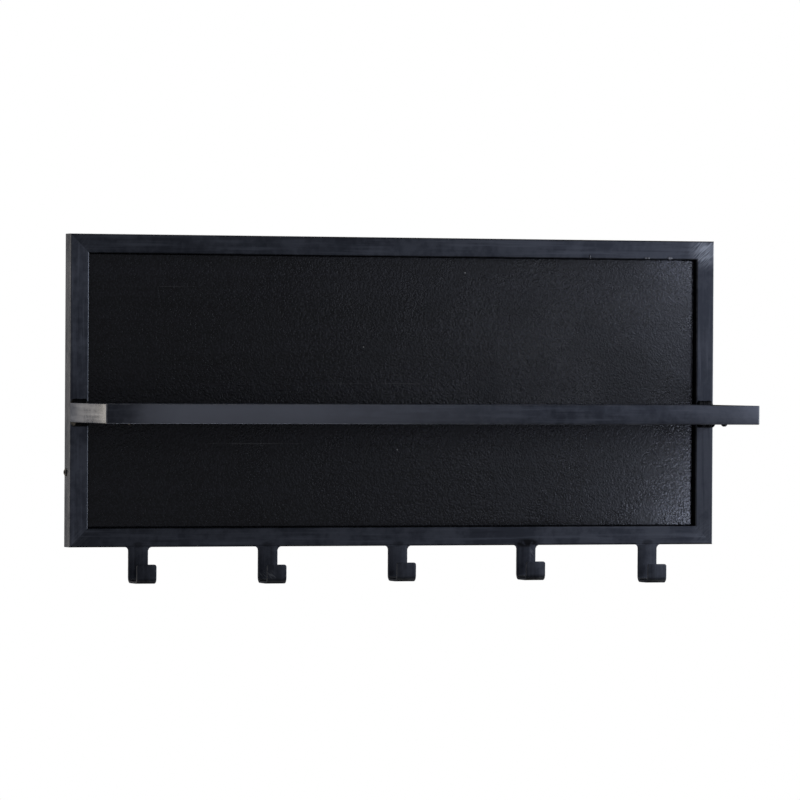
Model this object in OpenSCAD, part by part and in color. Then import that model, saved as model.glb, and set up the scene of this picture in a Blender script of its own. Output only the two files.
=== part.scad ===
// Wall coat rack: a welded frame of square tube round a stained wood panel,
// a shelf tray of angle iron across its front, and five flat-bar hooks below.
// Origin: centre of the top rail's back face, on the wall.
// +X to the right, +Z up, the wall lies at Y = 0 and the front faces -Y.

/* [Frame] */
// Overall width across the stiles
frame_w = 900; // [700:10:1200]
// Overall height of the frame, without the hooks
frame_h = 406; // [360:1:500]
// Side of the square tube
tube_w = 25; // [24:1:30]
// Wall of the square tube
tube_wall = 1.5; // [1.2:0.1:1.8]
// Outside corner radius of the square tube
tube_r = 2; // [2:0.1:2.5]

/* [Wall fixing] */
// Distance between the two keyholes in the back of the top rail
keyhole_spacing = 700; // [400:10:800]
// Radius of the hole that the screw head goes in through
keyhole_entry_r = 5; // [4:0.5:5]
// Radius of the slot that the screw's neck ends in
keyhole_slot_r = 2.5; // [2:0.1:3]
// How far the rack drops onto the screw
keyhole_drop = 7; // [6:0.5:7]

/* [Back panel] */
// Thickness of the boards
panel_t = 15; // [12:0.5:16]
// How far the panel's face lies behind the frame's face
panel_recess = 6; // [3:0.5:6]
// Distance from the panel's top edge down to each glued seam
panel_seams = [42, 144, 245]; // [20:1:340]
// Gap along the left edge
gap_left = 1.2; // [0.5:0.1:3]
// Gap along the top edge
gap_top = 0.7; // [0.5:0.1:3]
// Gap at the top of the right edge
gap_right_top = 1; // [0.5:0.1:5]
// Gap at the bottom of the right edge
gap_right_low = 2.5; // [0.5:0.1:5]
// Gap at the left end of the bottom edge
gap_low_left = 1.2; // [0.5:0.1:5]
// Gap at the right end of the bottom edge
gap_low_right = 0.8; // [0.5:0.1:5]

/* [Panel fixing] */
// Width of the flat-bar ledges that the panel lies against
ledge_w = 20; // [16:1:30]
// Thickness of the ledges
ledge_t = 2; // [1.5:0.5:2]
// Where the screws sit along the upper and lower ledges
ledge_screw_x = [-300, 0, 300]; // [-380:10:380]
// Height of the side screws above the frame's bottom
side_screw_h = 97; // [60:1:110]

/* [Shelf] */
// How far the shelf stands out in front of the frame
shelf_d = 160; // [100:5:250]
// Height of the shelf's top edge above the frame's bottom
shelf_h = 187; // [150:1:260]
// Leg of the angle iron
angle_w = 25; // [20:1:30]
// Thickness of the angle iron
angle_t = 3; // [2:0.5:4]
// Radius in the root of the angle iron
angle_root_r = 2; // [1:0.5:2]
// Thickness of the shelf board
shelf_board_t = 20; // [15:1:20]
// Radius along the shelf board's long edges
shelf_board_r = 2; // [2:0.5:4]
// Where the shelf screws sit along the shelf's rails
shelf_screw_x = [-413, 404]; // [-420:0.5:420]

/* [Hooks] */
// Centre of each hook along the bottom rail
hook_x = [-356.5, -179, 1.5, 182.5, 356]; // [-420:0.5:420]
// Width of the hook bar
hook_w = 27; // [20:1:30]
// Thickness of the hook bar
hook_t = 3; // [2:0.5:4]
// How far each hook hangs below the frame
hook_drop = [46.5, 47.5, 46, 45.5, 50]; // [35:0.5:70]
// How far each lip's face stands in front of the frame's face
hook_reach = [37, 37, 34, 36, 35]; // [20:1:60]
// Height of the lip
hook_lip = 27; // [18:1:40]
// Inside radius of the two bends
hook_bend_r = 5; // [3:0.5:6]
// Radius of the lip's two top corners
hook_corner_r = 3; // [1:0.5:6]
// Radius of the weld fillets beside each hook
hook_fillet_r = 4; // [2:0.5:6]

/* [Hidden] */
$fn = 48;
eps = 1;

frame_top = tube_w / 2;
frame_low = frame_top - frame_h;
frame_mid = (frame_top + frame_low) / 2;
open_right = frame_w / 2 - tube_w;
open_top = frame_top - tube_w;
open_low = frame_low + tube_w;

panel_front = -tube_w + panel_recess;
panel_back = panel_front + panel_t;
panel_top = open_top - gap_top;

side_screw_z = frame_low + side_screw_h;
side_screw_r = 2;
side_screw_len = 50;
side_hole_r = 2.25;
side_head_r = 5;
side_head_h = 3.4;
side_screw_y = panel_back - side_head_r;

ledge_len_x = 2 * open_right;
ledge_len_z = open_top - open_low - 2 * ledge_w;
ledge_screw_r = 2;
ledge_screw_len = 12;
ledge_head_r = ledge_screw_r + ledge_t;
ledge_screw_inset = 12;

shelf_top = frame_low + shelf_h;
shelf_low = shelf_top - angle_w;
shelf_front = -tube_w - shelf_d;
shelf_board_gap = 1;
shelf_board_end_gap = 2.5;
shelf_board_d = shelf_d - 2 * (angle_t + shelf_board_gap);
shelf_board_w = frame_w - 2 * (angle_t + shelf_board_end_gap);
shelf_screw_y = [shelf_front + angle_w / 2, -tube_w - angle_w / 2];
shelf_screw_r = 2;
shelf_screw_len = 16;
shelf_hole_r = 2.5;
shelf_head_r = 4;
shelf_head_h = 2.8;

weld_w = 22;
weld_top_h = 5;
weld_low_d = 18;
weld_low_h = 6;

hook_bend_out = hook_bend_r + hook_t;
hook_weld_rise = 1.2;

steel = [0.23, 0.24, 0.28];
stained = [0.12, 0.12, 0.14];
screw_black = [0.10, 0.10, 0.11];

// ---- outlines ----

// Rectangle with round corners, centred on the origin
module round_rect(size, r) {
    square([size.x, size.y - 2 * r], center = true);
    square([size.x - 2 * r, size.y], center = true);
    for (sx = [-1, 1], sy = [-1, 1])
        translate([sx * (size.x / 2 - r), sy * (size.y / 2 - r)])
            circle(r);
}

// Bar outline seen face on, with its outer edge on y = 0 and both ends mitred inwards
module mitre_outline(length, width) {
    polygon([
        [-length / 2, 0],
        [length / 2, 0],
        [length / 2 - width, width],
        [-length / 2 + width, width]
    ]);
}

// Cross-section of the square tube
module tube_outline() {
    bore = tube_w - 2 * tube_wall;
    difference() {
        round_rect([tube_w, tube_w], tube_r);
        round_rect([bore, bore], tube_r - tube_wall);
    }
}

// Cross-section of the angle iron, with its heel on the origin
module angle_outline() {
    root = angle_t + angle_root_r;
    square([angle_w, angle_t]);
    square([angle_t, angle_w]);
    difference() {
        square(root);
        translate([root, root])
            circle(angle_root_r);
    }
}

// Quarter of a ring whose centre is the origin, in the quadrant of negative x and y
module quarter_bend(r_in, r_out) {
    intersection() {
        difference() {
            circle(r_out);
            circle(r_in);
        }
        translate([-r_out, -r_out])
            square(r_out);
    }
}

// Side view of a hook: x forward from the strip's back face, y up from the base
module hook_outline(drop, depth) {
    translate([0, hook_bend_out])
        square([hook_t, drop - hook_bend_out]);
    translate([hook_bend_out, 0])
        square([depth - 2 * hook_bend_out, hook_t]);
    translate([depth - hook_t, hook_bend_out])
        square([hook_t, hook_lip - hook_bend_out]);
    translate([hook_bend_out, hook_bend_out])
        quarter_bend(hook_bend_r, hook_bend_out);
    translate([depth - hook_bend_out, hook_bend_out])
        mirror([1, 0])
            quarter_bend(hook_bend_r, hook_bend_out);
}

// ---- stock lengths ----

// Mitred tube along X: back face on Y = 0, outer face on Z = 0, inwards is +Z
module frame_member(length) {
    intersection() {
        translate([0, -tube_w / 2, tube_w / 2])
            rotate([90, 0, 90])
                linear_extrude(length, center = true)
                    tube_outline();
        translate([0, eps, 0])
            rotate([90, 0, 0])
                linear_extrude(tube_w + 2 * eps)
                    mitre_outline(length, tube_w);
    }
}

// Mitred angle iron along X: outer face on Y = 0, underside on Z = 0, inwards is +Y
module tray_member(length) {
    intersection() {
        rotate([90, 0, 90])
            linear_extrude(length, center = true)
                angle_outline();
        translate([0, 0, -eps])
            linear_extrude(angle_w + 2 * eps)
                mitre_outline(length, angle_w);
    }
}

// Shank with a point, from the origin along +Z
module shank(r, length) {
    tip = 2 * r;
    cylinder(r = r, h = length - tip);
    translate([0, 0, length - tip])
        cylinder(r1 = r, r2 = r / 5, h = tip);
}

// Pan head below the origin with a cross recess, and its shank along +Z
module pan_screw(head_r, head_h, shank_r, length) {
    dome_r = (head_r * head_r + head_h * head_h) / (2 * head_h) * 1.15;
    recess_w = head_r / 3.5;
    recess_l = head_r * 1.1;
    shank(shank_r, length);
    difference() {
        intersection() {
            translate([0, 0, -head_h])
                cylinder(r = head_r, h = head_h);
            translate([0, 0, dome_r - head_h])
                sphere(dome_r);
        }
        for (turn = [0, 90])
            rotate(turn)
                translate([-recess_l / 2, -recess_w / 2, -head_h - eps])
                    cube([recess_l, recess_w, head_h / 2 + eps]);
    }
}

// ---- frame ----

module keyhole() {
    depth = tube_wall + 2 * eps;
    translate([0, eps, 0])
        rotate([90, 0, 0]) {
            cylinder(r = keyhole_entry_r, h = depth);
            translate([0, keyhole_drop, 0])
                cylinder(r = keyhole_slot_r, h = depth);
            translate([-keyhole_slot_r, 0, 0])
                cube([2 * keyhole_slot_r, keyhole_drop, depth]);
        }
}

module top_rail() {
    color(steel)
        difference() {
            translate([0, 0, frame_top])
                mirror([0, 0, 1])
                    frame_member(frame_w);
            for (side = [-1, 1])
                translate([side * keyhole_spacing / 2, 0, 0])
                    keyhole();
        }
}

module bottom_rail() {
    color(steel)
        translate([0, 0, frame_low])
            frame_member(frame_w);
}

module left_stile() {
    color(steel)
        difference() {
            translate([-frame_w / 2, 0, frame_mid])
                rotate([0, 90, 0])
                    frame_member(frame_h);
            translate([-frame_w / 2 - eps, side_screw_y, side_screw_z])
                rotate([0, 90, 0])
                    cylinder(r = side_hole_r, h = tube_w + 2 * eps);
        }
}

module right_stile() {
    mirror([1, 0, 0])
        left_stile();
}

// ---- back panel ----

// Where a side screw goes: side is -1 for the left one and 1 for the right one
module at_side_screw(side) {
    translate([side * frame_w / 2, side_screw_y, side_screw_z])
        rotate([0, -side * 90, 0])
            children();
}

// Where each ledge screw goes, at the ledge's back face, pointing forward
module at_ledge_screws() {
    for (x = ledge_screw_x, z = [open_top - ledge_screw_inset, open_low + ledge_screw_inset])
        translate([x, panel_back + ledge_t, z])
            rotate([90, 0, 0])
                children();
}

// The slightly out-of-square panel, cut down to the band from one seam to the next
module panel_board(upper, lower) {
    high = panel_top - upper;
    low = panel_top - lower;
    color(stained)
        difference() {
            translate([0, panel_back, 0])
                rotate([90, 0, 0])
                    linear_extrude(panel_t)
                        intersection() {
                            polygon([
                                [-open_right + gap_left, panel_top],
                                [open_right - gap_right_top, panel_top],
                                [open_right - gap_right_low, open_low + gap_low_right],
                                [-open_right + gap_left, open_low + gap_low_left]
                            ]);
                            translate([-frame_w / 2, low])
                                square([frame_w, high - low]);
                        }
            at_ledge_screws()
                shank(ledge_screw_r, ledge_screw_len);
            for (side = [-1, 1])
                at_side_screw(side)
                    shank(side_screw_r, side_screw_len);
        }
}

module panel_board_top() {
    panel_board(0, panel_seams[0]);
}

module panel_board_upper() {
    panel_board(panel_seams[0], panel_seams[1]);
}

module panel_board_lower() {
    panel_board(panel_seams[1], panel_seams[2]);
}

module panel_board_bottom() {
    panel_board(panel_seams[2], open_top - open_low);
}

module ledge_countersink() {
    cylinder(r1 = ledge_head_r, r2 = ledge_screw_r, h = ledge_t);
}

// Flat bar behind the panel's edge, given by its lower left corner and its size along X and Z
module panel_ledge(corner, size) {
    color(steel)
        difference() {
            translate([corner.x, panel_back, corner.y])
                cube([size.x, ledge_t, size.y]);
            at_ledge_screws()
                ledge_countersink();
        }
}

module panel_ledge_top() {
    panel_ledge([-open_right, open_top - ledge_w], [ledge_len_x, ledge_w]);
}

module panel_ledge_bottom() {
    panel_ledge([-open_right, open_low], [ledge_len_x, ledge_w]);
}

module panel_ledge_left() {
    panel_ledge([-open_right, open_low + ledge_w], [ledge_w, ledge_len_z]);
}

module panel_ledge_right() {
    panel_ledge([open_right - ledge_w, open_low + ledge_w], [ledge_w, ledge_len_z]);
}

module panel_ledge_screws() {
    color(screw_black)
        at_ledge_screws() {
            ledge_countersink();
            shank(ledge_screw_r, ledge_screw_len);
        }
}

module panel_side_screws() {
    color(screw_black)
        for (side = [-1, 1])
            at_side_screw(side)
                pan_screw(side_head_r, side_head_h, side_screw_r, side_screw_len);
}

// ---- shelf ----

module at_shelf_screws() {
    for (x = shelf_screw_x, y = shelf_screw_y)
        translate([x, y, shelf_low])
            children();
}

module shelf_screw_holes() {
    translate([0, 0, -eps])
        at_shelf_screws()
            cylinder(r = shelf_hole_r, h = angle_t + 2 * eps);
}

module shelf_front_rail() {
    color(steel)
        difference() {
            translate([0, shelf_front, shelf_low])
                tray_member(frame_w);
            shelf_screw_holes();
        }
}

module shelf_rear_rail() {
    color(steel)
        difference() {
            translate([0, -tube_w, shelf_low])
                mirror([0, 1, 0])
                    tray_member(frame_w);
            shelf_screw_holes();
        }
}

module shelf_left_rail() {
    color(steel)
        translate([-frame_w / 2, (shelf_front - tube_w) / 2, shelf_low])
            rotate([0, 0, -90])
                tray_member(shelf_d);
}

module shelf_right_rail() {
    mirror([1, 0, 0])
        shelf_left_rail();
}

module shelf_board() {
    color(stained)
        difference() {
            translate([0, (shelf_front - tube_w) / 2, shelf_low + angle_t + shelf_board_t / 2])
                rotate([90, 0, 90])
                    linear_extrude(shelf_board_w, center = true)
                        round_rect([shelf_board_d, shelf_board_t], shelf_board_r);
            at_shelf_screws()
                shank(shelf_screw_r, shelf_screw_len);
        }
}

module shelf_screws() {
    color(screw_black)
        at_shelf_screws()
            pan_screw(shelf_head_r, shelf_head_h, shelf_screw_r, shelf_screw_len);
}

// Beads on each stile: one along the rail's top edge and one under the rail
module shelf_welds() {
    color(steel)
        for (side = [-1, 1])
            translate([side * (frame_w - tube_w) / 2, -tube_w, 0])
                rotate([90, 0, -90])
                    linear_extrude(weld_w, center = true) {
                        translate([0, shelf_top])
                            polygon([
                                [0, 0],
                                [angle_t, 0],
                                [angle_t * 0.7, weld_top_h * 0.6],
                                [0, weld_top_h]
                            ]);
                        translate([0, shelf_low])
                            polygon([
                                [0, 0],
                                [0, -weld_low_h],
                                [weld_low_d * 0.5, -weld_low_h * 0.4],
                                [weld_low_d, 0]
                            ]);
                    }
}

// ---- hooks ----

// Rounds one top corner of the lip: waste to the upper right of the arc's centre
module lip_corner_waste() {
    rotate([90, 0, 0])
        linear_extrude(hook_t + 2 * eps, center = true)
            difference() {
                square(hook_corner_r + eps);
                circle(hook_corner_r);
            }
}

module hook(i) {
    base_z = frame_low - hook_drop[i];
    lip_y = -tube_w - hook_reach[i] + hook_t / 2;
    corner_x = hook_w / 2 - hook_corner_r;
    color(steel)
        translate([hook_x[i], 0, 0])
            difference() {
                translate([0, -tube_w + hook_t, base_z])
                    mirror([0, 1, 0])
                        rotate([90, 0, 90])
                            linear_extrude(hook_w, center = true)
                                hook_outline(hook_drop[i], hook_reach[i] + hook_t);
                for (side = [0, 1])
                    mirror([side, 0, 0])
                        translate([corner_x, lip_y, base_z + hook_lip - hook_corner_r])
                            lip_corner_waste();
            }
}

module hook_1() {
    hook(0);
}

module hook_2() {
    hook(1);
}

module hook_3() {
    hook(2);
}

module hook_4() {
    hook(3);
}

module hook_5() {
    hook(4);
}

// Weld metal between the rail's round lower edge and a strip, with a fillet at each side
module hook_weld() {
    half_w = hook_w / 2 + hook_fillet_r;
    height = hook_weld_rise + hook_fillet_r;
    difference() {
        translate([-half_w, -tube_w, frame_low - hook_fillet_r])
            cube([2 * half_w, hook_t, height]);
        translate([0, -tube_w / 2, frame_low + tube_w / 2])
            rotate([90, 0, 90])
                linear_extrude(2 * half_w + 2 * eps, center = true)
                    round_rect([tube_w, tube_w], tube_r);
        translate([-hook_w / 2, -tube_w - eps, frame_low - hook_fillet_r - eps])
            cube([hook_w, hook_t + 2 * eps, hook_fillet_r + eps]);
        for (side = [-1, 1])
            translate([side * half_w, -tube_w - eps, frame_low - hook_fillet_r])
                rotate([-90, 0, 0])
                    cylinder(r = hook_fillet_r, h = hook_t + 2 * eps);
    }
}

module hook_welds() {
    color(steel)
        for (x = hook_x)
            translate([x, 0, 0])
                hook_weld();
}

top_rail();
bottom_rail();
left_stile();
right_stile();
panel_board_top();
panel_board_upper();
panel_board_lower();
panel_board_bottom();
panel_ledge_top();
panel_ledge_bottom();
panel_ledge_left();
panel_ledge_right();
panel_ledge_screws();
panel_side_screws();
shelf_front_rail();
shelf_rear_rail();
shelf_left_rail();
shelf_right_rail();
shelf_board();
shelf_screws();
shelf_welds();
hook_1();
hook_2();
hook_3();
hook_4();
hook_5();
hook_welds();
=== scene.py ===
import math

import bmesh
import bpy
from mathutils import Matrix, Vector, noise


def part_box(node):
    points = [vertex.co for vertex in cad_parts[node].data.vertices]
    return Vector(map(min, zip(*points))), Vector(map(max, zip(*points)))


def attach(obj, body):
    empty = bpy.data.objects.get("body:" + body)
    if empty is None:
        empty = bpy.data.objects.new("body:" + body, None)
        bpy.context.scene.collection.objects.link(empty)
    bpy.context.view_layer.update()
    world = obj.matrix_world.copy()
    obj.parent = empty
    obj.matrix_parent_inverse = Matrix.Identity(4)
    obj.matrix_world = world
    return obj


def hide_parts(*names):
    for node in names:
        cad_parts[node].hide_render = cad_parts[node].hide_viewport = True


# Wall coat rack: welded square-tube frame, black-stained panel, angle-iron tray, flat-bar hooks.
# X runs along the rack, Z is up, the wall is at Y = 0 and the front faces -Y. Lengths are metres.

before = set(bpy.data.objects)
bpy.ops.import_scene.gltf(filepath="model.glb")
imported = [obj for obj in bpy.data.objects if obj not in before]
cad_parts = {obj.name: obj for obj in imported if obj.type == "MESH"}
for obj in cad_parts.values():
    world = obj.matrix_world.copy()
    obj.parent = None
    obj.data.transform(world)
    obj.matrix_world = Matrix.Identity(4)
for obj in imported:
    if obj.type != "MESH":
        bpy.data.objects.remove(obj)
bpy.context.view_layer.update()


# ---------------------------------------------------------------- places read from the frame

FRAME_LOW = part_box("bottom_rail")[0].z
FRAME_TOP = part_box("top_rail")[1].z
FRAME_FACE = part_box("top_rail")[0].y
FRAME_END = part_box("top_rail")[1].x
TUBE = FRAME_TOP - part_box("top_rail")[0].z
SHELF_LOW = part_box("shelf_front_rail")[0].z
SHELF_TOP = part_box("shelf_front_rail")[1].z
SHELF_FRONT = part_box("shelf_front_rail")[0].y
FRAME_MID = (FRAME_LOW + FRAME_TOP) / 2
HOOKS = ["hook_1", "hook_2", "hook_3", "hook_4", "hook_5"]
BOARDS = ["panel_board_top", "panel_board_upper", "panel_board_lower", "panel_board_bottom"]


# ---------------------------------------------------------------- sizes and marks

BAR = 0.003          # thickness of the angle iron and of the hooks' flat bar
LIP_HEIGHT = 0.025   # top of a hook's lip above the bottom of its bar
SOFT_ARRIS = 0.0002  # rounding of sharp edges on the CAD steel

# (x, z) of pale specks on the panel, and (x, z, stretch in X) of its long faint scuffs
NICKS = [(0.002, -0.267), (-0.046, -0.132), (0.096, -0.033)]
SCUFFS = [(-0.325, -0.055, 60), (-0.05, -0.180, 150), (-0.20, -0.259, 90), (0.02, -0.135, 60)]

# (x, z, inner radius, outer radius, stretch in X, strength) of a painted sheen: bluish highlight
# painted into the varnish's colour
PAINTED_SHEEN_SPOTS = [
    (0.425, -0.370, 0.0, 0.095, 0.9, 0.85), (0.435, -0.255, 0.0, 0.085, 0.8, 0.85),
    (0.400, -0.015, 0.0, 0.060, 1.3, 0.60), (0.440, -0.110, 0.0, 0.150, 0.20, 0.55),
]
FAINT_PAINTED_SHEEN = 0.05   # painted sheen left faintly over all the boards

# (x, half width, half height) of the lumps of weld on the top rail's lower edge
BURRS = [(0.271, 0.0012, 0.0030), (0.353, 0.0042, 0.0016), (0.386, 0.0036, 0.0020)]

# (position, grey) along the shelf's front from left to right, of a painted sheen: lighter colour
# standing in for light reflected by the front
SHELF_SHEEN_PATCHES = [
    (0.0, 0.05), (0.02, 0.10), (0.06, 0.75), (0.12, 0.95), (0.30, 0.75),
    (0.50, 0.28), (0.66, 0.0), (0.84, 0.0), (0.94, 0.10), (1.0, 0.30),
]

# Colours are linear RGB
STEEL_DARK, STEEL_LIGHT = (0.052, 0.057, 0.072), (0.097, 0.104, 0.126)
STREAK_LIGHT, STREAK_DARK = (0.14, 0.15, 0.18), (0.028, 0.030, 0.040)
PAINTED_SHELF_SHEEN = (0.29, 0.30, 0.34)
GROUND_STEEL = (0.42, 0.44, 0.48)
SCRAPED_STEEL = (0.42, 0.43, 0.44)
WORN_STEEL = (0.42, 0.42, 0.42)
BURNT_STEEL = (0.012, 0.012, 0.014)
WOOD_DARK, WOOD_LIGHT = (0.0030, 0.0028, 0.0045), (0.0090, 0.0084, 0.0125)
WOOD_FIBRE = (0.028, 0.027, 0.030)
NICK_COLOUR = (0.60, 0.59, 0.57)
SCUFF_COLOUR = (0.070, 0.068, 0.070)
PAINTED_SHEEN_COLOUR = (0.30, 0.32, 0.40)
SCREW_DARK, SCREW_LIGHT = (0.050, 0.050, 0.053), (0.10, 0.10, 0.105)
SCREW_WORN = (0.22, 0.22, 0.22)
FLOOR_COLOUR = (0.86, 0.86, 0.86)
ROOM_HORIZON, ROOM_DARK = (0.142, 0.146, 0.160), (0.012, 0.013, 0.015)
SKY = (0.78, 0.84, 1.0)
BLUE_SKY = (0.72, 0.79, 1.0)
PALE_SKY = (0.90, 0.95, 1.0)
WARM = (1.0, 0.88, 0.68)
WHITE = (1.0, 1.0, 1.0)


# ---------------------------------------------------------------- material helpers

class Nodes:
    """One material's node tree, with short calls for the nodes that the materials share."""

    def __init__(self, name):
        self.material = bpy.data.materials.new(name)
        self.material.use_nodes = True
        self.tree = self.material.node_tree
        self.shader = self.tree.nodes["Principled BSDF"]
        self.place = self.add("ShaderNodeTexCoord").outputs["Object"]

    def add(self, kind, **settings):
        node = self.tree.nodes.new(kind)
        for key, value in settings.items():
            setattr(node, key, value)
        return node

    def feed(self, socket, value):
        if isinstance(value, bpy.types.NodeSocket):
            self.tree.links.new(value, socket)
        else:
            socket.default_value = value

    def math(self, operation, a, b=0.0, c=0.0):
        node = self.add("ShaderNodeMath", operation=operation)
        for socket, value in zip(node.inputs, (a, b, c)):
            self.feed(socket, value)
        return node.outputs[0]

    def stretched(self, scale, shift=(0, 0, 0), turn=0.0):
        """Object coordinates turned about Y, then scaled: a large scale makes fine detail."""
        place = self.place
        if turn:
            spin = self.add("ShaderNodeVectorRotate", rotation_type="Y_AXIS")
            self.feed(spin.inputs["Vector"], place)
            spin.inputs["Angle"].default_value = turn
            place = spin.outputs[0]
        node = self.add("ShaderNodeMapping", vector_type="POINT")
        self.feed(node.inputs["Vector"], place)
        node.inputs["Location"].default_value = shift
        node.inputs["Scale"].default_value = scale
        return node.outputs[0]

    def noise(self, vector, scale=1.0, detail=3.0, rough=0.55, warp=0.0):
        node = self.add("ShaderNodeTexNoise")
        self.feed(node.inputs["Vector"], vector)
        node.inputs["Scale"].default_value = scale
        node.inputs["Detail"].default_value = detail
        node.inputs["Roughness"].default_value = rough
        node.inputs["Distortion"].default_value = warp
        return node.outputs["Fac"]

    def ramp(self, value, stops):
        """A grey value along a line of (position, grey) stops."""
        node = self.add("ShaderNodeValToRGB")
        self.feed(node.inputs["Fac"], value)
        elements = node.color_ramp.elements
        while len(elements) < len(stops):
            elements.new(0.5)
        for element, (position, grey) in zip(elements, stops):
            element.position = position
            element.color = (grey, grey, grey, 1.0)
        return node.outputs[0]

    def spot(self, x, z, inner, outer, stretch=1.0):
        """1 near a place on the front, fading to 0; stretch makes the spot long in X."""
        across = self.math("DIVIDE", self.math("SUBTRACT", self.axis("X"), x), stretch)
        up = self.math("SUBTRACT", self.axis("Z"), z)
        return self.remap(self.distance(across, up), inner, outer, 1.0, 0.0)

    def distance(self, across, up):
        squares = [self.math("MULTIPLY", part, part) for part in (across, up)]
        return self.math("SQRT", self.math("ADD", *squares))

    def remap(self, value, low, high, to_low=0.0, to_high=1.0, smooth=True):
        node = self.add("ShaderNodeMapRange")
        node.interpolation_type = "SMOOTHSTEP" if smooth else "LINEAR"
        for socket, part in zip(node.inputs, (value, low, high, to_low, to_high)):
            self.feed(socket, part)
        return node.outputs[0]

    def mix(self, factor, a, b):
        node = self.add("ShaderNodeMix", data_type="RGBA")
        self.feed(node.inputs[0], factor)
        for socket, colour in ((node.inputs[6], a), (node.inputs[7], b)):
            linked = isinstance(colour, bpy.types.NodeSocket)
            self.feed(socket, colour if linked else (*colour, 1.0))
        return node.outputs[2]

    def bump(self, height, strength, depth, below=None):
        node = self.add("ShaderNodeBump")
        node.inputs["Strength"].default_value = strength
        node.inputs["Distance"].default_value = depth
        self.feed(node.inputs["Height"], height)
        if below is not None:
            self.feed(node.inputs["Normal"], below)
        return node.outputs[0]

    def axis(self, letter):
        node = self.add("ShaderNodeSeparateXYZ")
        self.feed(node.inputs[0], self.place)
        return node.outputs[letter]

    def rounded_edge(self):
        """0 on faces that look along an axis, up to about 0.4 where an edge turns to the next."""
        normal = self.add("ShaderNodeSeparateXYZ")
        self.feed(normal.inputs[0], self.add("ShaderNodeNewGeometry").outputs["Normal"])
        parts = [self.math("ABSOLUTE", normal.outputs[i]) for i in range(3)]
        largest = self.math("MAXIMUM", self.math("MAXIMUM", parts[0], parts[1]), parts[2])
        return self.math("SUBTRACT", 1.0, largest)

    def set(self, **inputs):
        for name, value in inputs.items():
            self.feed(self.shader.inputs[name.replace("_", " ")], value)
        return self.material


def blackened_steel(name, grain, shade=1.0, gloss=0.0, worn=0.30, patches=None):
    """Blackened and clear-lacquered steel: cloudy blue-black, with the rolling grain on one axis.
    patches are (position, grey) stops along the rack of a painted sheen, lighter colour that stands
    in for reflected light."""
    n = Nodes(name)

    def shaded(colour):
        return tuple(part * shade for part in colour)

    fine, coarse = 900, 9
    scale = [coarse if axis == grain else fine / 4 for axis in "XYZ"]
    clouds = n.noise(n.place, scale=17, detail=4, rough=0.6, warp=0.6)
    mottle = n.noise(n.place, scale=110, detail=4, rough=0.65)
    streaks = n.noise(n.stretched(scale), scale=1, detail=4, rough=0.6)
    pits = n.noise(n.place, scale=fine, detail=2, rough=0.6)
    tone = n.math("MULTIPLY_ADD", mottle, 0.35, n.math("MULTIPLY", clouds, 0.65))
    body = n.mix(n.remap(tone, 0.38, 0.62), shaded(STEEL_DARK), shaded(STEEL_LIGHT))
    body = n.mix(n.remap(streaks, 0.50, 0.72, 0.0, 0.55), body, shaded(STREAK_LIGHT))
    body = n.mix(n.remap(streaks, 0.30, 0.46, 0.45, 0.0), body, shaded(STREAK_DARK))
    # painted sheen: lighter colour along the front stands in for light reflected there
    if patches:
        along = n.math("MULTIPLY_ADD", n.axis("X"), 0.5 / FRAME_END, 0.5)
        along = n.math("MULTIPLY_ADD", clouds, 0.06, n.math("SUBTRACT", along, 0.03))
        body = n.mix(n.ramp(along, patches), body, PAINTED_SHELF_SHEEN)
    body = n.mix(corner_marks(n), body, GROUND_STEEL)
    body = n.mix(heat_marks(n, mottle), body, BURNT_STEEL)
    body = n.mix(scrape_marks(n), body, SCRAPED_STEEL)
    wear = n.remap(n.rounded_edge(), 0.06, 0.26, 0.0, worn)
    wear = n.math("MULTIPLY", wear, n.remap(mottle, 0.30, 0.60, 0.25, 1.0))
    body = n.mix(wear, body, WORN_STEEL)
    rough = n.remap(tone, 0.35, 0.68, 0.36 - gloss, 0.50 - gloss, smooth=False)
    rough = n.math("MULTIPLY_ADD", n.remap(streaks, 0.3, 0.7), 0.06, rough)
    normal = n.bump(streaks, 0.10, 0.00012)
    normal = n.bump(pits, 0.16, 0.00010, normal)
    normal = n.bump(mottle, 0.10, 0.0006, normal)
    return n.set(Base_Color=body, Metallic=0.92, Roughness=rough, Normal=normal,
                 Coat_Weight=0.10, Coat_Roughness=0.22)


def corner_marks(n):
    """Diagonal scratches where the mitre welds were ground flush, strongest at the upper right."""
    half_w = FRAME_END - TUBE / 2
    half_h = (FRAME_TOP - FRAME_LOW - TUBE) / 2
    across = n.math("SUBTRACT", n.math("ABSOLUTE", n.axis("X")), half_w)
    up = n.math("SUBTRACT", n.math("ABSOLUTE", n.math("SUBTRACT", n.axis("Z"), FRAME_MID)), half_h)
    near = n.remap(n.distance(across, up), 0.004, 0.030, 1.0, 0.0)
    scratch = n.noise(n.stretched((70, 70, 900), turn=math.radians(45)), detail=3)
    side = n.math("ADD", n.axis("X"), n.axis("Z"))
    strong = n.remap(side, 0.30, 0.42, 0.10, 1.0)
    marks = n.math("MULTIPLY", near, n.remap(scratch, 0.36, 0.60))
    return n.math("MULTIPLY", n.math("MULTIPLY", marks, strong), 0.80)


def heat_marks(n, mottle):
    """Burnt patches on the lower rail above each hook, widest above the fourth."""
    total = 0.0
    for number, hook_name in enumerate(HOOKS, 1):
        low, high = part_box(hook_name)
        reach, strength, stretch = (0.007, 1.0, 3.4) if number == 4 else (0.005, 0.55, 2.0)
        middle_x = (low.x + high.x) / 2
        patch = n.spot(middle_x, FRAME_LOW + 0.003, reach * 0.45, reach, stretch)
        total = n.math("MAXIMUM", total, n.math("MULTIPLY", patch, strength))
    return n.math("MULTIPLY", total, n.remap(mottle, 0.30, 0.55))


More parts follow.
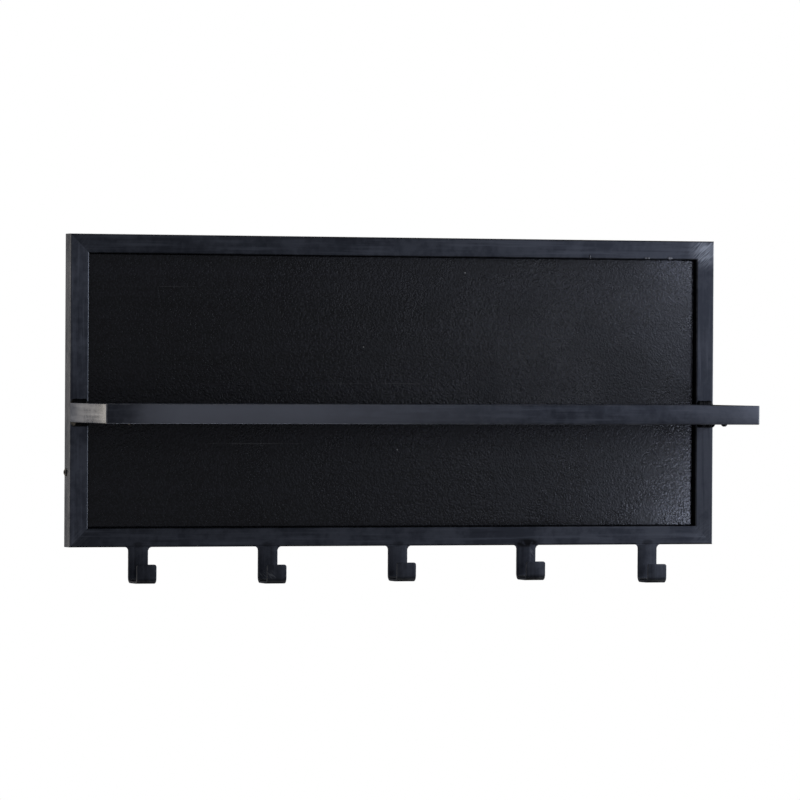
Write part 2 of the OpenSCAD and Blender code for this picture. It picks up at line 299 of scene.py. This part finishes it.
def scrape_marks(n):
    """Bright diagonal scrapes down the fourth hook's right side and over the second hook's lip."""
    second_low, fourth_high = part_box("hook_2")[0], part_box("hook_4")[1]
    side = n.spot(fourth_high.x - 0.005, FRAME_LOW - 0.010, 0.002, 0.010, stretch=0.5)
    lip = n.spot(second_low.x + 0.006, second_low.z + 0.010, 0.002, 0.010, stretch=1.0)
    streak = n.noise(n.stretched((90, 90, 700), turn=math.radians(-45)), detail=3)
    return n.math("MULTIPLY", n.math("MAXIMUM", side, lip), n.remap(streak, 0.50, 0.66, 0.0, 0.5))


def stained_wood(name, shift, tint, through="Y"):
    """Board stained black under a pebbled semi-gloss varnish, with the grain along X.
    through is the axis across the board's thickness."""
    n = Nodes(name)
    fine, coarse = ([60 if axis == through else size for axis in "XYZ"] for size in (430, 150))
    rings = n.noise(n.stretched((1.6, 40, 40), shift), scale=1, detail=5, rough=0.6, warp=0.8)
    fibres = n.noise(n.stretched((14, 420, 420), shift), scale=1, detail=3, rough=0.6)
    pebble = n.noise(n.stretched(fine, (0, 0.6, 0)), scale=1, detail=2, rough=0.5)
    orange = n.noise(n.stretched(coarse, (0, 3.6, 0)), scale=1, detail=2, rough=0.5)
    clouds = n.noise(n.place, scale=11, detail=3, rough=0.55, warp=0.5)
    pores = n.noise(n.stretched((60, 1500, 1500), shift), scale=1, detail=2)
    dark, light = (tuple(part * tint for part in wood) for wood in (WOOD_DARK, WOOD_LIGHT))
    body = n.mix(n.remap(rings, 0.35, 0.68), dark, light)
    body = n.mix(n.remap(fibres, 0.58, 0.80, 0.0, 0.5), body, WOOD_FIBRE)
    for x, z in NICKS:
        body = n.mix(n.spot(x, z, 0.0005, 0.0011), body, NICK_COLOUR)
    for x, z, stretch in SCUFFS:
        streak = n.spot(x, z, 0.0004, 0.0013, stretch)
        scuff = n.math("MULTIPLY", streak, n.remap(fibres, 0.48, 0.62))
        body = n.mix(scuff, body, SCUFF_COLOUR)
    # painted sheen: pale bluish glints painted on the pebble crests, standing in for light reflected
    # by the varnish
    sheen_mask = n.math("MAXIMUM", painted_varnish_sheen(n, clouds), FAINT_PAINTED_SHEEN)
    crests = n.remap(pebble, 0.42, 0.62, 0.05, 1.0)
    body = n.mix(n.math("MULTIPLY", sheen_mask, crests), body, PAINTED_SHEEN_COLOUR)
    rough = n.remap(clouds, 0.38, 0.62, 0.18, 0.30, smooth=False)
    rough = n.math("MULTIPLY_ADD", pebble, 0.06, rough)
    normal = n.bump(orange, 0.15, 0.0014)
    normal = n.bump(pebble, 0.62, 0.0009, normal)
    normal = n.bump(pores, 0.12, 0.0002, normal)
    return n.set(Base_Color=body, Roughness=rough, Normal=normal)


def painted_varnish_sheen(n, clouds):
    """A painted sheen: bluish highlight painted into the varnish's colour on the panel's face, at
    its right-hand corners and edge.
    """
    total = 0.0
    for x, z, inner, outer, stretch, strength in PAINTED_SHEEN_SPOTS:
        patch = n.spot(x, z, inner, outer, stretch)
        total = n.math("MAXIMUM", total, n.math("MULTIPLY", patch, strength))
    start, full, end = FRAME_FACE + 0.003, FRAME_FACE + 0.010, FRAME_FACE + 0.013
    face = n.remap(n.axis("Y"), start, full, 0.0, 1.0)
    front = n.math("MULTIPLY", face, n.remap(n.axis("Y"), full, end, 1.0, 0.0))
    cloudy = n.remap(clouds, 0.32, 0.58, 0.15, 1.0)
    return n.math("MULTIPLY", n.math("MULTIPLY", total, front), cloudy)


def black_screw(name):
    """Phosphated screw: dull black with slightly rubbed edges."""
    n = Nodes(name)
    grain = n.noise(n.place, scale=1600, detail=2)
    wear = n.remap(n.rounded_edge(), 0.08, 0.30, 0.0, 0.35)
    body = n.mix(grain, SCREW_DARK, SCREW_LIGHT)
    body = n.mix(wear, body, SCREW_WORN)
    normal = n.bump(grain, 0.2, 0.00008)
    return n.set(Base_Color=body, Metallic=0.9, Roughness=0.45, Normal=normal)


def weld_metal(name, shade):
    """Weld bead: dark and rough at a low shade, where it is blackened, and bright at a high one,
    where it is ground."""
    n = Nodes(name)
    scale = n.noise(n.place, scale=500, detail=4, rough=0.65)
    tone = n.noise(n.place, scale=130, detail=3)
    dark = (0.55 * shade, 0.55 * shade, 0.60 * shade)
    light = (1.4 * shade, 1.42 * shade, 1.55 * shade)
    body = n.mix(n.remap(tone, 0.4, 0.65), dark, light)
    normal = n.bump(scale, 0.45, 0.0004)
    rough = n.remap(scale, 0.3, 0.7, 0.42, 0.62)
    return n.set(Base_Color=body, Metallic=0.8, Roughness=rough, Normal=normal)


STEEL_X = blackened_steel("blackened_steel_along_x", "X")
STEEL_SHELF = blackened_steel("blackened_steel_shelf_front", "X", worn=0.8, patches=SHELF_SHEEN_PATCHES)
STEEL_Y = blackened_steel("blackened_steel_along_y", "Y", gloss=0.12, worn=0.8)
# painted light: a copy of the steel three times lighter, standing in for the light that the shelf's
# left end catches
STEEL_END_PAINTED_LIGHT = blackened_steel("blackened_steel_shelf_end_painted_light", "Y", shade=3.0, gloss=0.16, worn=0.8)
STEEL_HOOK = blackened_steel("blackened_steel_hooks", "Z", shade=0.90, worn=1.0)
STEEL_Z = blackened_steel("blackened_steel_along_z", "Z")
# painted light: a lighter copy of the steel for the left stile, standing in for the light that falls
# on it
STEEL_LEFT_PAINTED_LIGHT = blackened_steel("blackened_steel_left_stile_painted_light", "Z", shade=1.75)
# painted shade: a darker copy of the steel for the right stile, standing in for less light there
STEEL_RIGHT_PAINTED_SHADE = blackened_steel("blackened_steel_right_stile_painted_shade", "Z", shade=0.80)
SCREW = black_screw("black_screw")
WELD = weld_metal("weld_metal", 0.018)
BURR = weld_metal("ground_weld_metal", 0.35)


# ---------------------------------------------------------------- piece helpers

def dress(node_name, material, bevel=0.0):
    """Gives a CAD node its material, and rounds its sharp edges by bevel metres."""
    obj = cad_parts[node_name]
    obj.data.materials.clear()
    obj.data.materials.append(material)
    if bevel:
        weld = obj.modifiers.new("join_shared_points", "WELD")
        weld.merge_threshold = 1e-6
        rounding = obj.modifiers.new("rounded_edges", "BEVEL")
        rounding.width = bevel
        rounding.segments = 2
        rounding.limit_method = "ANGLE"
        rounding.angle_limit = math.radians(50)


def new_piece(name, bm, material, slot, *stands_for, smooth_angle=40):
    """Turns a bmesh into a piece of the object that stands for CAD nodes."""
    bmesh.ops.recalc_face_normals(bm, faces=bm.faces)
    mesh = bpy.data.meshes.new(name)
    bm.to_mesh(mesh)
    bm.free()
    obj = bpy.data.objects.new(name, mesh)
    bpy.context.scene.collection.objects.link(obj)
    mesh.materials.append(material)
    mesh.shade_smooth()
    mesh.set_sharp_from_angle(angle=math.radians(smooth_angle))
    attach(obj, "root")
    if stands_for:
        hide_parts(*stands_for)
    return obj


def grid_lines(length, round_low, round_high, pitch, arc_steps=5):
    """Distances from 0 to length, close together over the rounded ends and pitch apart between."""
    arc = [1 - math.cos(math.pi / 2 * i / arc_steps) for i in range(arc_steps)]
    low = [round_low * part for part in arc] if round_low else []
    high = [length - round_high * part for part in arc] if round_high else []
    count = max(1, round((length - round_low - round_high) / pitch))
    step = (length - round_low - round_high) / count
    middle = [round_low + step * i for i in range(count + 1)]
    return low + middle + high[::-1]


def arris_drop(distance, radius):
    """How far a face has turned away at a distance from an edge of that radius."""
    if distance >= radius:
        return 0.0
    return radius - math.sqrt(max(0.0, radius ** 2 - (radius - distance) ** 2))


def board(name, corners, depth, radii, material, stands_for, wave=0.0003, roll_off=0.0):
    """A solid board. corners are its (x, z) at the lower left, lower right, upper right and upper
    left; depth is its front and back y; radii round its left, right, lower and upper front edges.
    The face is hand-sanded: it wanders by wave, and falls away by roll_off at the right-hand end."""
    low_left, low_right, top_right, top_left = (Vector(c) for c in corners)
    left, right, lower, upper = radii
    back_round = 0.0008
    roll_length = 0.095
    width = (low_right - low_left).length
    height = (top_left - low_left).length
    us = grid_lines(width, left, right, 0.009)
    vs = grid_lines(height, lower, upper, 0.007)
    front, back = depth
    bm = bmesh.new()
    sheets = []
    for face_y, away, rounds in ((front, 1, radii), (back, -1, (back_round,) * 4)):
        rows = []
        for v in vs:
            row = []
            for u in us:
                s, t = u / width, v / height
                low_edge = low_left.lerp(low_right, s)
                top_edge = top_left.lerp(top_right, s)
                x, z = low_edge.lerp(top_edge, t)
                drop = max(
                    arris_drop(u, rounds[0]), arris_drop(width - u, rounds[1]),
                    arris_drop(v, rounds[2]), arris_drop(height - v, rounds[3]),
                )
                if away > 0:
                    hand = noise.noise(Vector((x * 9, z * 14, 1.7))) * wave
                    sanded = roll_off * max(0.0, 1 - (width - u) / roll_length) ** 2
                    drop += max(0.0, hand + wave / 2) + sanded
                row.append(bm.verts.new((x, face_y + away * drop, z)))
            rows.append(row)
        for a, b in zip(rows, rows[1:]):
            for i in range(len(us) - 1):
                bm.faces.new((a[i], a[i + 1], b[i + 1], b[i]))
        sheets.append(rows)
    rims = [rim(rows) for rows in sheets]
    for i in range(len(rims[0])):
        j = (i + 1) % len(rims[0])
        bm.faces.new((rims[0][i], rims[0][j], rims[1][j], rims[1][i]))
    return new_piece(name, bm, material, "stained_wood", stands_for, smooth_angle=50)


def rim(rows):
    """The points round the outside of a grid, in order."""
    down = [row[0] for row in rows[-2:0:-1]]
    up = [row[-1] for row in rows[1:-1]]
    return rows[0] + up + rows[-1][::-1] + down


# ---------------------------------------------------------------- the frame and the shelf's steel

for rail in ("top_rail", "bottom_rail"):
    dress(rail, STEEL_X)
dress("left_stile", STEEL_LEFT_PAINTED_LIGHT)
dress("right_stile", STEEL_RIGHT_PAINTED_SHADE)
for ledge in ("panel_ledge_top", "panel_ledge_bottom"):
    dress(ledge, STEEL_X, bevel=SOFT_ARRIS)
for ledge in ("panel_ledge_left", "panel_ledge_right"):
    dress(ledge, STEEL_Z, bevel=SOFT_ARRIS)
for screws in ("panel_ledge_screws", "panel_side_screws", "shelf_screws"):
    dress(screws, SCREW, bevel=SOFT_ARRIS)


# ---------------------------------------------------------------- the shelf's angle-iron tray

def corner_arc(cx, cy, radius, start, steps=3):
    """A quarter turn, clockwise from the start angle in degrees."""
    arc = []
    for i in range(steps + 1):
        angle = math.radians(start - 90 * i / steps)
        arc.append((cx + radius * math.cos(angle), cy + radius * math.sin(angle)))
    return arc


def angle_section():
    """Outline of the angle iron as (inwards, up), with a rounded heel, root and toes."""
    leg = TUBE
    heel, toe, root = 0.0012, 0.0007, 0.002
    root_turns = [math.radians(a) for a in (0, 30, 60, 90)]
    root_centre = BAR + root
    return (
        corner_arc(heel, heel, heel, 270)
        + corner_arc(toe, leg - toe, toe, 180)
        + corner_arc(BAR - toe, leg - toe, toe, 90)
        + [(root_centre - root * math.cos(a), root_centre - root * math.sin(a)) for a in root_turns]
        + corner_arc(leg - toe, BAR - toe, toe, 90)
        + corner_arc(leg - toe, toe, toe, 0)
    )


def mitred_ring(section, half, sign, share, radius):
    """One ring of the rail's end: share is 0 where the corner's round starts and 1 on the mitre."""
    ring = []
    turn = math.pi / 4 * share
    for inward, up in section:
        if inward < radius:
            along = half - radius + (radius - inward) * math.sin(turn)
            inward = radius - (radius - inward) * math.cos(turn)
        else:
            along = half - inward
        ring.append((sign * along, inward, up))
    return ring


def build_shelf_rail(name, node_name, half, radii, place, material):
    """Angle iron from mitre to mitre. radii round its two outer corners, and place turns
    (along, inwards, up) into a point of the rack."""
    section = angle_section()
    rings = []
    shares = [1.0, 0.75, 0.5, 0.25, 0.0]
    rings += [mitred_ring(section, half, -1, share, radii[0]) for share in shares]
    count = max(2, round(2 * (half - TUBE) / 0.012))
    for i in range(1, count):
        along = -(half - TUBE) + 2 * (half - TUBE) * i / count
        ring = []
        for inward, up in section:
            hand = noise.noise(Vector((along * 12, up * 8, half * 9))) * 0.00010
            ring.append((along, inward + (max(0.0, hand) if inward < 0.002 else 0.0), up))
        rings.append(ring)
    rings += [mitred_ring(section, half, 1, share, radii[1]) for share in shares[::-1]]
    bm = bmesh.new()
    points = [[bm.verts.new(place(*point)) for point in ring] for ring in rings]
    for a, b in zip(points, points[1:]):
        for i in range(len(a)):
            j = (i + 1) % len(a)
            bm.faces.new((a[i], a[j], b[j], b[i]))
    bm.faces.new(points[0])
    bm.faces.new(points[-1])
    bmesh.ops.remove_doubles(bm, verts=bm.verts, dist=1e-6)
    return new_piece(name, bm, material, "blackened_steel", node_name, smooth_angle=35)


def build_tray():
    """Four mitred rails; returns the two whose faces show in the photograph's view."""
    low_x, high_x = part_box("shelf_front_rail")[0].x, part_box("shelf_front_rail")[1].x
    half_x = (high_x - low_x) / 2
    half_y = (FRAME_FACE - SHELF_FRONT) / 2
    middle_y = (FRAME_FACE + SHELF_FRONT) / 2
    front_r, rear_r = 0.003, 0.0006
    front = build_shelf_rail("tray_front", "shelf_front_rail", half_x, (front_r, front_r),
                             lambda s, a, h: (s, SHELF_FRONT + a, SHELF_LOW + h), STEEL_SHELF)
    build_shelf_rail("tray_rear", "shelf_rear_rail", half_x, (rear_r, rear_r),
                     lambda s, a, h: (s, FRAME_FACE - a, SHELF_LOW + h), STEEL_X)
    left = build_shelf_rail("tray_left", "shelf_left_rail", half_y, (front_r, rear_r),
                            lambda s, a, h: (low_x + a, middle_y + s, SHELF_LOW + h), STEEL_END_PAINTED_LIGHT)
    build_shelf_rail("tray_right", "shelf_right_rail", half_y, (front_r, rear_r),
                     lambda s, a, h: (high_x - a, middle_y + s, SHELF_LOW + h), STEEL_Y)
    return [front, left]


shelf_rims = build_tray()


# ---------------------------------------------------------------- the boards

def panel_corners(node_name):
    """The four corners of a panel board's face, from the CAD board's own points."""
    low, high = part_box(node_name)
    points = [v.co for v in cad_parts[node_name].data.vertices]
    found = []
    for x_side, z_side in ((-1, -1), (1, -1), (1, 1), (-1, 1)):
        target = Vector((low.x if x_side < 0 else high.x, 0, low.z if z_side < 0 else high.z))
        flat = [Vector((p.x, 0, p.z)) for p in points]
        nearest = min(flat, key=lambda p: (p - target).length)
        found.append((nearest.x, nearest.z))
    return found, (low.y, high.y)


def build_panel():
    """The boards, rounded at the panel's outer edges and square at the glued seams between them."""
    open_edge, seam = 0.0008, 0.0
    boards = []
    for i, node_name in enumerate(BOARDS):
        corners, depth = panel_corners(node_name)
        upper = open_edge if i == 0 else seam
        lower = open_edge if i == len(BOARDS) - 1 else seam
        tint = 1.0 + 0.12 * (-1) ** i
        material = stained_wood(f"stained_wood_{i + 1}", (0.0, 1.7 * i, 3.1 * i), tint)
        radii = (open_edge, open_edge, lower, upper)
        boards.append(
            board(f"board_{i + 1}", corners, depth, radii, material, node_name, roll_off=0.0018))
    return boards


def build_shelf_board():
    """The board is built upright like the others, then laid down with its face up."""
    low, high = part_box("shelf_board")
    middle = (low + high) / 2
    half_w, half_d, half_t = (high - low) / 2
    corners = [(-half_w, -half_d), (half_w, -half_d), (half_w, half_d), (-half_w, half_d)]
    material = stained_wood("stained_wood_shelf", (0.0, 9.3, 4.4), 1.0, through="Z")
    radii = (0.0010, 0.0010, 0.002, 0.002)
    obj = board("shelf_top_board", corners, (-half_t, half_t), radii, material, "shelf_board")
    lay = Matrix.Translation(middle) @ Matrix.Rotation(math.radians(-90), 4, "X")
    obj.data.transform(lay)


panel = build_panel()
build_shelf_board()


# ---------------------------------------------------------------- hooks

def hook_path(node_name):
    """Centre line of a hook's bar as (y, z, angle across the bar), and the height of its lip."""
    low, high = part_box(node_name)
    bend = 0.005 + BAR / 2
    back, lip = high.y - BAR / 2, low.y + BAR / 2
    base = low.z + BAR / 2
    lip_top = low.z + LIP_HEIGHT
    points = []

    def straight(y0, z0, y1, z1, across, steps):
        for i in range(steps):
            t = i / steps
            points.append((y0 + (y1 - y0) * t, z0 + (z1 - z0) * t, across))

    def turn(cy, cz, start, steps=9):
        for i in range(steps):
            angle = start - math.pi / 2 * i / steps
            points.append((cy + bend * math.cos(angle), cz + bend * math.sin(angle), angle))

    straight(back, high.z, back, base + bend, 0.0, 14)
    turn(back - bend, base + bend, 0.0)
    straight(back - bend, base, lip + bend, base, -math.pi / 2, 7)
    turn(lip + bend, base + bend, -math.pi / 2)
    straight(lip, base + bend, lip, lip_top - 0.0032, -math.pi, 6)
    for i in range(7):
        points.append((lip, lip_top - 0.003 * (1 - math.sin(math.pi / 2 * i / 6)), -math.pi))
    return points, lip_top


def bar_section(half_w, half_t, round_r=0.0006, steps=3):
    """Outline of the flat bar with rounded edges, as (along x, across)."""
    outline = []
    for sx, st, start in ((1, 1, 0), (-1, 1, 90), (-1, -1, 180), (1, -1, 270)):
        for i in range(steps + 1):
            angle = math.radians(start + 90 * i / steps)
            outline.append((
                sx * (half_w - round_r) + round_r * math.cos(angle),
                st * (half_t - round_r) + round_r * math.sin(angle),
            ))
    return outline


def build_hook(node_name, seed):
    low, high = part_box(node_name)
    middle_x = (low.x + high.x) / 2
    half_w = (high.x - low.x) / 2
    path, lip_top = hook_path(node_name)
    lip_corner = 0.003
    side_room, face_room = 0.00015, 0.00008
    bm = bmesh.new()
    rings = []
    for y, z, angle in path:
        corner = max(0.0, lip_corner - (lip_top - z)) if angle == -math.pi else 0.0
        width = half_w - (lip_corner - math.sqrt(max(0.0, lip_corner ** 2 - corner ** 2)))
        ring = []
        for along, across in bar_section(width - side_room, BAR / 2 - face_room):
            wobble = noise.noise(Vector((along * 120, y * 160 + seed * 7, z * 160))) * 0.00012
            out = across + math.copysign(wobble, across)
            point_x = middle_x + along + math.copysign(wobble, along)
            point = (point_x, y + out * math.cos(angle), z + out * math.sin(angle))
            ring.append(bm.verts.new(point))
        rings.append(ring)
    for a, b in zip(rings, rings[1:]):
        for i in range(len(a)):
            j = (i + 1) % len(a)
            bm.faces.new((a[i], a[j], b[j], b[i]))
    bm.faces.new(rings[0])
    bm.faces.new(rings[-1])
    new_piece(f"bent_{node_name}", bm, STEEL_HOOK, "blackened_steel", node_name, smooth_angle=35)


for number, hook_name in enumerate(HOOKS, 1):
    build_hook(hook_name, number)


# ---------------------------------------------------------------- welds

def lump(bm, outline, front, back, rise, ripple, seed):
    """A low weld deposit: outline is its (x, z) points in order, and its face swells by rise."""
    centre = sum((Vector(p) for p in outline), Vector((0, 0))) / len(outline)
    levels = ((1.0, 0.0), (0.93, 0.55), (0.80, 0.85), (0.55, 1.0), (0.25, 1.0))
    rings = [[bm.verts.new((x, back, z)) for x, z in outline]]
    for shrink, lift in levels:
        ring = []
        for x, z in outline:
            p = centre + (Vector((x, z)) - centre) * shrink
            wave = noise.noise(Vector((p.x * ripple, p.y * ripple, seed * 3.3)))
            ring.append(bm.verts.new((p.x, front - rise * lift * (1 + 0.5 * wave), p.y)))
        rings.append(ring)
    for a, b in zip(rings, rings[1:]):
        for i in range(len(a)):
            j = (i + 1) % len(a)
            bm.faces.new((a[i], a[j], b[j], b[i]))
    tip = bm.verts.new((centre.x, front - rise, centre.y))
    for i in range(len(rings[-1])):
        bm.faces.new((rings[-1][i], rings[-1][(i + 1) % len(rings[-1])], tip))
    bm.faces.new(rings[0])


WELD_LAP = 0.001  # how far a hook's weld laps over its bar


def fillet_outline(x, side, radius, rise):
    """Concave triangle between a hook's edge and the rail's lower edge, with its top on the rail."""
    steps = 8
    inside_x = x - side * WELD_LAP
    arc = []
    for i in range(steps + 1):
        angle = math.pi / 2 * i / steps
        arc_x = x + side * radius * (1 - math.sin(angle))
        arc.append((arc_x, FRAME_LOW - radius * (1 - math.cos(angle))))
    top = [(inside_x, FRAME_LOW + rise), (x + side * radius, FRAME_LOW + rise)]
    return top + arc + [(inside_x, FRAME_LOW - radius)]


def build_hook_welds():
    bm = bmesh.new()
    radius, rise = 0.004, 0.0012
    for number, hook_name in enumerate(HOOKS):
        low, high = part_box(hook_name)
        for side, x in ((-1, low.x), (1, high.x)):
            outline = fillet_outline(x, side, radius, rise)
            lump(bm, outline, FRAME_FACE + 0.0004, FRAME_FACE + 0.0028, 0.0003, 900, number + side)
        bottom_z, top_z = FRAME_LOW - WELD_LAP, FRAME_LOW + rise
        top = [(low.x, bottom_z), (high.x, bottom_z), (high.x, top_z), (low.x, top_z)]
        lump(bm, top, FRAME_FACE + 0.0002, FRAME_FACE + 0.0025, 0.0001, 700, number * 5)
    new_piece("hook_weld_fillets", bm, STEEL_X, "weld_metal", "hook_welds", smooth_angle=60)


def build_rail_burrs():
    """Small lumps of weld left on the top rail's lower edge."""
    bm = bmesh.new()
    edge = FRAME_TOP - TUBE + 0.0006
    corners = 14
    for seed, (x, wide, tall) in enumerate(BURRS):
        outline = []
        for i in range(corners):
            angle = 2 * math.pi * i / corners
            across, up = math.cos(angle), math.sin(angle)
            size = 1 + 0.25 * noise.noise(Vector((across * 2, up * 2, seed * 9.1)))
            outline.append((x + wide * size * across, edge + tall * size * (0.6 + up)))
        lump(bm, outline, FRAME_FACE + 0.0004, FRAME_FACE + 0.0020, 0.0012, 500, seed)
    new_piece("rail_burrs", bm, BURR, "weld_metal", smooth_angle=70)


def build_shelf_welds():
    """Rippled beads over and under the shelf on both stiles."""
    bm = bmesh.new()
    half = 0.0118
    ring_count, column_count = 9, 40
    # (z of the shelf's edge, height, depth, which way the bead lies)
    places = [(SHELF_TOP, 0.0052, 0.0036, 1), (SHELF_LOW, 0.0056, 0.0150, -1)]
    for stile in (-1, 1):
        centre_x = stile * (FRAME_END - TUBE / 2)
        for edge_z, tall, deep, way in places:
            rows = []
            for c in range(column_count + 1):
                s = c / column_count
                x = centre_x + (2 * s - 1) * half
                end = min(1.0, 6 * min(s, 1 - s) + 0.25)
                uneven = noise.noise(Vector((x * 300, edge_z * 50, way)))
                ripple = 1 + 0.03 * math.sin(s * 48 + stile) + 0.12 * uneven
                row = [bm.verts.new((x, FRAME_FACE + 0.0005, edge_z - way * 0.001))]
                for r in range(ring_count):
                    angle = math.pi / 2 * r / (ring_count - 1)
                    out = deep * end * ripple * math.sin(angle) ** 0.9
                    up = tall * end * ripple * math.cos(angle) ** 0.9
                    row.append(bm.verts.new((x, FRAME_FACE - out, edge_z + way * up)))
                rows.append(row)
            for a, b in zip(rows, rows[1:]):
                for i in range(len(a)):
                    j = (i + 1) % len(a)
                    bm.faces.new((a[i], a[j], b[j], b[i]))
            bm.faces.new(rows[0])
            bm.faces.new(rows[-1])
    new_piece("shelf_weld_beads", bm, WELD, "weld_metal", "shelf_welds", smooth_angle=70)


build_hook_welds()
build_rail_burrs()
build_shelf_welds()


# ---------------------------------------------------------------- floor, light and camera

def pale(name, colour, rough):
    n = Nodes(name)
    tone = n.noise(n.place, scale=3, detail=2)
    shade = n.mix(n.remap(tone, 0.3, 0.7), colour, tuple(part * 0.97 for part in colour))
    return n.set(Base_Color=shade, Roughness=rough)


def build_floor():
    """A pale floor, well below the rack. The steel doesn't mirror it, so lower faces stay dark."""
    bpy.ops.mesh.primitive_plane_add(size=44, location=(0, 0, -2.6))
    floor = bpy.context.object
    floor.name = "floor"
    floor.visible_glossy = False
    floor.visible_diffuse = False
    floor.data.materials.append(pale("pale_floor", FLOOR_COLOUR, 0.9))
    return floor


def softbox(name, place, aim, size, power, colour, only=(), spare=()):
    """A soft light. It lights every piece, or only the listed ones, or all but the spared ones."""
    light = bpy.data.lights.new(name, "AREA")
    light.shape = "RECTANGLE"
    light.size, light.size_y = size
    light.energy = power
    light.color = colour
    obj = bpy.data.objects.new(name, light)
    bpy.context.scene.collection.objects.link(obj)
    obj.location = place
    obj.rotation_euler = (Vector(aim) - Vector(place)).to_track_quat("-Z", "Y").to_euler()
    obj.visible_camera = False
    if only or spare:
        listed = bpy.data.collections.new(name + "_list")
        for piece in only or spare:
            listed.objects.link(piece)
        for entry in listed.collection_objects:
            entry.light_linking.link_state = "INCLUDE" if only else "EXCLUDE"
        obj.light_linking.receiver_collection = listed


def daylight(floor):
    """An even light from above that falls on the floor alone."""
    light = bpy.data.lights.new("floor_daylight", "SUN")
    light.energy = 4.4
    light.angle = math.radians(90)
    obj = bpy.data.objects.new("floor_daylight", light)
    bpy.context.scene.collection.objects.link(obj)
    lit = bpy.data.collections.new("floor_daylight_list")
    lit.objects.link(floor)
    obj.light_linking.receiver_collection = lit


def build_world(horizon, dark):
    """White to the camera. To everything else a dim bluish room, darker above and below."""
    world = bpy.data.worlds.new("studio")
    bpy.context.scene.world = world
    world.use_nodes = True
    nodes, links = world.node_tree.nodes, world.node_tree.links
    split = nodes.new("ShaderNodeSeparateXYZ")
    links.new(nodes.new("ShaderNodeTexCoord").outputs["Generated"], split.inputs[0])
    height = nodes.new("ShaderNodeMath")
    height.operation = "ABSOLUTE"
    links.new(split.outputs["Z"], height.inputs[0])
    band = nodes.new("ShaderNodeMapRange")
    band.inputs["From Min"].default_value = 0.30
    band.inputs["From Max"].default_value = 0.90
    links.new(height.outputs[0], band.inputs["Value"])
    blend = nodes.new("ShaderNodeMix")
    blend.data_type = "RGBA"
    links.new(band.outputs[0], blend.inputs[0])
    blend.inputs[6].default_value = (*horizon, 1.0)
    blend.inputs[7].default_value = (*dark, 1.0)
    room = nodes["Background"]
    links.new(blend.outputs[2], room.inputs["Color"])
    room.inputs["Strength"].default_value = 1.0
    white = nodes.new("ShaderNodeBackground")
    white.inputs["Color"].default_value = (1.0, 1.0, 1.0, 1.0)
    pick = nodes.new("ShaderNodeMixShader")
    links.new(nodes.new("ShaderNodeLightPath").outputs["Is Camera Ray"], pick.inputs[0])
    links.new(room.outputs[0], pick.inputs[1])
    links.new(white.outputs[0], pick.inputs[2])
    links.new(pick.outputs[0], nodes["World Output"].inputs["Surface"])


def build_camera():
    """The photograph's view: far off, to the left, level with the middle of the rack."""
    camera = bpy.data.cameras.new("camera")
    camera.sensor_width = 36
    camera.lens = 280
    camera.clip_start, camera.clip_end = 0.1, 200
    obj = bpy.data.objects.new("camera", camera)
    bpy.context.scene.collection.objects.link(obj)
    turn, tilt, roll = math.radians(-19.83), math.radians(89.62), math.radians(0.32)
    turns = ((turn, "Z"), (tilt, "X"), (roll, "Z"))
    yaw, pitch, lean = (Matrix.Rotation(angle, 4, axis) for angle, axis in turns)
    place = Matrix.Translation((-2.7765, -7.7333, -0.1471))
    obj.matrix_world = place @ (yaw @ pitch @ lean)
    bpy.context.scene.camera = obj


floor = build_floor()
build_world(ROOM_HORIZON, ROOM_DARK)

# name, place, aim, size, watts, colour
softbox("left_softbox", (-0.61, 0.11, -0.2), (-0.45, -0.17, -0.2), (0.12, 1.0), 0.54, WARM)
softbox("right_softbox", (1.10, -1.14, 0.10), (0.4, 0, -0.2), (0.5, 1.2), 2.9, SKY, spare=panel)
softbox("under_shelf", (-0.1, SHELF_FRONT, -1.3), (-0.1, SHELF_FRONT, SHELF_LOW), (1.1, 0.25), 1.6,
        SKY, only=shelf_rims)
softbox("edge_softbox", (1.7, -0.10, -0.2), (0.0, -0.10, -0.2), (1.4, 1.6), 16, PALE_SKY)
softbox("middle_sheen", (0.73, -1.11, -0.10), (0.28, 0, -0.12), (0.25, 0.3), 0.50, SKY, only=panel)
softbox("lower_sheen", (0.69, -0.40, -0.40), (0.45, 0, -0.38), (0.08, 0.08), 0.50, BLUE_SKY,
        only=panel)
softbox("upper_sheen", (0.69, -0.40, 0.00), (0.45, 0, -0.02), (0.08, 0.16), 0.32, BLUE_SKY,
        only=panel)
softbox("top_softbox", (0.2, 2.2, 3.0), (0, 0, -0.2), (2.6, 1.6), 26, WHITE, spare=[floor])
daylight(floor)
build_camera()
bpy.context.scene.view_settings.view_transform = "Standard"
